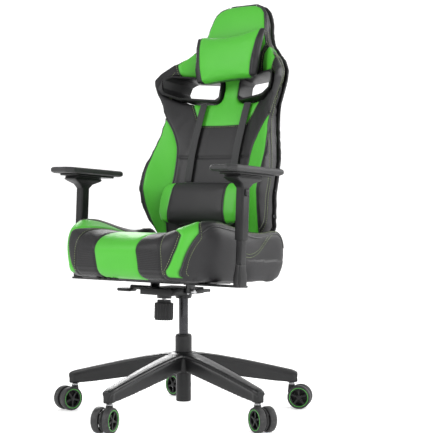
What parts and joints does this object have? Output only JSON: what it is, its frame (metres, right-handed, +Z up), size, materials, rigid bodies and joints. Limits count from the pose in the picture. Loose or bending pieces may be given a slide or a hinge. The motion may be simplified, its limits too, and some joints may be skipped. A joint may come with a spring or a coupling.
{
  "type": "gaming chair",
  "caption": "Racing-style swivel chair with a winged reclining back, bolstered seat, neck and lumbar pillows and adjustable armrests on a caster base.",
  "frame": {"origin": "floor level under the middle of the chair's box", "axes": "+Z up, -Y the way the chair faces, +X the sitter's left"},
  "size_m": [0.7677, 0.7625, 1.2599],
  "materials": {
    "black_steel": "satin black powder coat",
    "polished_steel": "ground steel",
    "black_plastic": "fine-textured black plastic",
    "wheel_rubber": "black tread with a thin green ring",
    "black_leather": "matt black synthetic leather",
    "green_leather": "bright green synthetic leather",
    "black_webbing": "black elastic webbing"
  },
  "bodies": {
    "base": {"base_star": "black_steel", "gas_lift_tube": "black_steel"},
    "caster_1": {"caster_fork_1": "black_plastic"},
    "wheel_1a": {"caster_wheel_1a": "wheel_rubber"},
    "wheel_1b": {"caster_wheel_1b": "wheel_rubber"},
    "caster_2": {"caster_fork_2": "black_plastic"},
    "wheel_2a": {"caster_wheel_2a": "wheel_rubber"},
    "wheel_2b": {"caster_wheel_2b": "wheel_rubber"},
    "caster_3": {"caster_fork_3": "black_plastic"},
    "wheel_3a": {"caster_wheel_3a": "wheel_rubber"},
    "wheel_3b": {"caster_wheel_3b": "wheel_rubber"},
    "caster_4": {"caster_fork_4": "black_plastic"},
    "wheel_4a": {"caster_wheel_4a": "wheel_rubber"},
    "wheel_4b": {"caster_wheel_4b": "wheel_rubber"},
    "caster_5": {"caster_fork_5": "black_plastic"},
    "wheel_5a": {"caster_wheel_5a": "wheel_rubber"},
    "wheel_5b": {"caster_wheel_5b": "wheel_rubber"},
    "lift": {"gas_lift_piston": "polished_steel"},
    "mechanism": {"tilt_housing": "black_steel", "tilt_pivot_pin": "polished_steel"},
    "tension_knob": {"tension_knob": "black_plastic"},
    "lever_rod": {"height_lever_rod": "polished_steel"},
    "lever_handle": {"height_lever_handle": "black_plastic"},
    "seat": {"seat_plate": "black_steel", "seat_pan": "black_steel", "seat_cushion": "black_leather", "recline_bracket_lower_left": "black_steel", "recline_bracket_lower_right": "black_steel", "recline_pin_left": "polished_steel", "recline_pin_right": "polished_steel", "armrest_bracket_left": "black_steel", "armrest_bracket_right": "black_steel", "armrest_post_left": "black_steel", "armrest_post_right": "black_steel"},
    "back": {"back_frame": "black_steel", "back_cushion": "black_leather", "back_rear_cover": "black_leather", "opening_bezel_left": "black_plastic", "opening_bezel_right": "black_plastic", "recline_bracket_upper_left": "black_steel", "recline_bracket_upper_right": "black_steel", "neck_pillow": "green_leather", "neck_pillow_band": "black_webbing", "lumbar_pillow": "black_leather", "lumbar_strap_left": "black_webbing", "lumbar_strap_right": "black_webbing"},
    "recline_lever": {"recline_lever": "black_plastic"},
    "arm_left_sleeve": {"armrest_sleeve_left": "black_plastic"},
    "arm_left_button": {"armrest_height_button_left": "black_plastic"},
    "arm_left_lateral": {"armrest_lateral_plate_left": "black_plastic"},
    "arm_left_track": {"armrest_track_left": "black_plastic"},
    "arm_left_pad": {"armrest_pad_base_left": "black_plastic", "armrest_pad_left": "black_plastic"},
    "arm_right_sleeve": {"armrest_sleeve_right": "black_plastic"},
    "arm_right_button": {"armrest_height_button_right": "black_plastic"},
    "arm_right_lateral": {"armrest_lateral_plate_right": "black_plastic"},
    "arm_right_track": {"armrest_track_right": "black_plastic"},
    "arm_right_pad": {"armrest_pad_base_right": "black_plastic", "armrest_pad_right": "black_plastic"}
  },
  "joints": [
    {"name": "caster_1_swivel", "type": "hinge", "parent": "base", "child": "caster_1", "pos_m": [-0.24708, 0.30202, 0.09], "axis": [0, 0, 1], "continuous": true},
    {"name": "wheel_1a_spin", "type": "hinge", "parent": "caster_1", "child": "wheel_1a", "pos_m": [-0.27268, 0.30653, 0.036], "axis": [-0.1736, -0.9848, 0], "continuous": true},
    {"name": "wheel_1b_spin", "type": "hinge", "parent": "caster_1", "child": "wheel_1b", "pos_m": [-0.27268, 0.30653, 0.036], "axis": [-0.1736, -0.9848, 0], "continuous": true},
    {"name": "caster_2_swivel", "type": "hinge", "parent": "base", "child": "caster_2", "pos_m": [-0.34661, -0.09721, 0.09], "axis": [0, 0, 1], "continuous": true},
    {"name": "wheel_2a_spin", "type": "hinge", "parent": "caster_2", "child": "wheel_2a", "pos_m": [-0.35113, -0.12282, 0.036], "axis": [0.9848, -0.1736, 0], "continuous": true},
    {"name": "wheel_2b_spin", "type": "hinge", "parent": "caster_2", "child": "wheel_2b", "pos_m": [-0.35113, -0.12282, 0.036], "axis": [0.9848, -0.1736, 0], "continuous": true},
    {"name": "caster_3_swivel", "type": "hinge", "parent": "base", "child": "caster_3", "pos_m": [0.00231, -0.31525, 0.09], "axis": [0, 0, 1], "continuous": true},
    {"name": "wheel_3a_spin", "type": "hinge", "parent": "caster_3", "child": "wheel_3a", "pos_m": [0.00904, -0.34036, 0.036], "axis": [0.9659, 0.2588, 0], "continuous": true},
    {"name": "wheel_3b_spin", "type": "hinge", "parent": "caster_3", "child": "wheel_3b", "pos_m": [0.00904, -0.34036, 0.036], "axis": [0.9659, 0.2588, 0], "continuous": true},
    {"name": "caster_4_swivel", "type": "hinge", "parent": "base", "child": "caster_4", "pos_m": [0.3175, -0.05077, 0.09], "axis": [0, 0, 1], "continuous": true},
    {"name": "wheel_4a_spin", "type": "hinge", "parent": "caster_4", "child": "wheel_4a", "pos_m": [0.34161, -0.06051, 0.036], "axis": [0.3746, 0.9272, 0], "continuous": true},
    {"name": "wheel_4b_spin", "type": "hinge", "parent": "caster_4", "child": "wheel_4b", "pos_m": [0.34161, -0.06051, 0.036], "axis": [0.3746, 0.9272, 0], "continuous": true},
    {"name": "caster_5_swivel", "type": "hinge", "parent": "base", "child": "caster_5", "pos_m": [0.16337, 0.33072, 0.09], "axis": [0, 0, 1], "continuous": true},
    {"name": "wheel_5a_spin", "type": "hinge", "parent": "caster_5", "child": "wheel_5a", "pos_m": [0.18674, 0.34211, 0.036], "axis": [-0.4384, 0.8988, 0], "continuous": true},
    {"name": "wheel_5b_spin", "type": "hinge", "parent": "caster_5", "child": "wheel_5b", "pos_m": [0.18674, 0.34211, 0.036], "axis": [-0.4384, 0.8988, 0], "continuous": true},
    {"name": "gas_lift_height", "type": "slide", "parent": "base", "child": "lift", "axis": [0, 0, 1], "range_m": [-0.085, 0]},
    {"name": "seat_swivel", "type": "hinge", "parent": "lift", "child": "mechanism", "pos_m": [-0.0221, 0.0339, 0.36], "axis": [0, 0, 1], "continuous": true},
    {"name": "tension_knob_turn", "type": "hinge", "parent": "mechanism", "child": "tension_knob", "pos_m": [-0.0221, -0.0546, 0.352], "axis": [0, 0.0349, 0.9994], "continuous": true},
    {"name": "height_lever_lift", "type": "hinge", "parent": "mechanism", "child": "lever_rod", "pos_m": [-0.0841, 0.0119, 0.374], "axis": [0, 1, 0], "range_deg": [0, 5], "stiffness_Nm_per_rad": 2, "springref_deg": -5.73},
    {"name": "tilt_lock_pull", "type": "slide", "parent": "lever_rod", "child": "lever_handle", "axis": [-1, 0, 0], "range_m": [0, 0.012]},
    {"name": "seat_tilt", "type": "hinge", "parent": "mechanism", "child": "seat", "pos_m": [-0.0221, -0.0111, 0.373], "axis": [-1, 0, 0], "range_deg": [0, 8], "stiffness_Nm_per_rad": 150, "springref_deg": -11.46},
    {"name": "back_recline", "type": "hinge", "parent": "seat", "child": "back", "pos_m": [-0.0221, 0.1589, 0.475], "axis": [-1, 0, 0], "range_deg": [-6, 47]},
    {"name": "recline_lever_lift", "type": "hinge", "parent": "seat", "child": "recline_lever", "pos_m": [-0.2921, 0.1589, 0.475], "axis": [-1, 0, 0], "range_deg": [0, 25], "stiffness_Nm_per_rad": 0.6, "springref_deg": -17.19},
    {"name": "armrest_left_height", "type": "slide", "parent": "seat", "child": "arm_left_sleeve", "axis": [0, 0.0523, 0.9986], "range_m": [-0.055, 0.02]},
    {"name": "armrest_left_button_press", "type": "slide", "parent": "arm_left_sleeve", "child": "arm_left_button", "axis": [-1, 0, 0], "range_m": [0, 0.003], "stiffness_N_per_m": 400, "springref_m": -0.002},
    {"name": "armrest_left_width", "type": "slide", "parent": "arm_left_sleeve", "child": "arm_left_lateral", "axis": [1, 0, 0], "range_m": [-0.01, 0.01]},
    {"name": "armrest_left_depth", "type": "slide", "parent": "arm_left_lateral", "child": "arm_left_track", "axis": [0, -0.9986, 0.0523], "range_m": [0, 0.035]},
    {"name": "armrest_left_swivel", "type": "hinge", "parent": "arm_left_track", "child": "arm_left_pad", "pos_m": [0.2864, -0.0754, 0.71283], "axis": [0, 0.0523, 0.9986], "range_deg": [-15, 15]},
    {"name": "armrest_right_height", "type": "slide", "parent": "seat", "child": "arm_right_sleeve", "axis": [0, 0.0523, 0.9986], "range_m": [-0.055, 0.02]},
    {"name": "armrest_right_button_press", "type": "slide", "parent": "arm_right_sleeve", "child": "arm_right_button", "axis": [1, 0, 0], "range_m": [0, 0.003], "stiffness_N_per_m": 400, "springref_m": -0.002},
    {"name": "armrest_right_width", "type": "slide", "parent": "arm_right_sleeve", "child": "arm_right_lateral", "axis": [-1, 0, 0], "range_m": [-0.01, 0.01]},
    {"name": "armrest_right_depth", "type": "slide", "parent": "arm_right_lateral", "child": "arm_right_track", "axis": [0, -0.9986, 0.0523], "range_m": [0, 0.035]},
    {"name": "armrest_right_swivel", "type": "hinge", "parent": "arm_right_track", "child": "arm_right_pad", "pos_m": [-0.3306, -0.0754, 0.71283], "axis": [0, 0.0523, 0.9986], "range_deg": [-15, 15]}
  ]
}
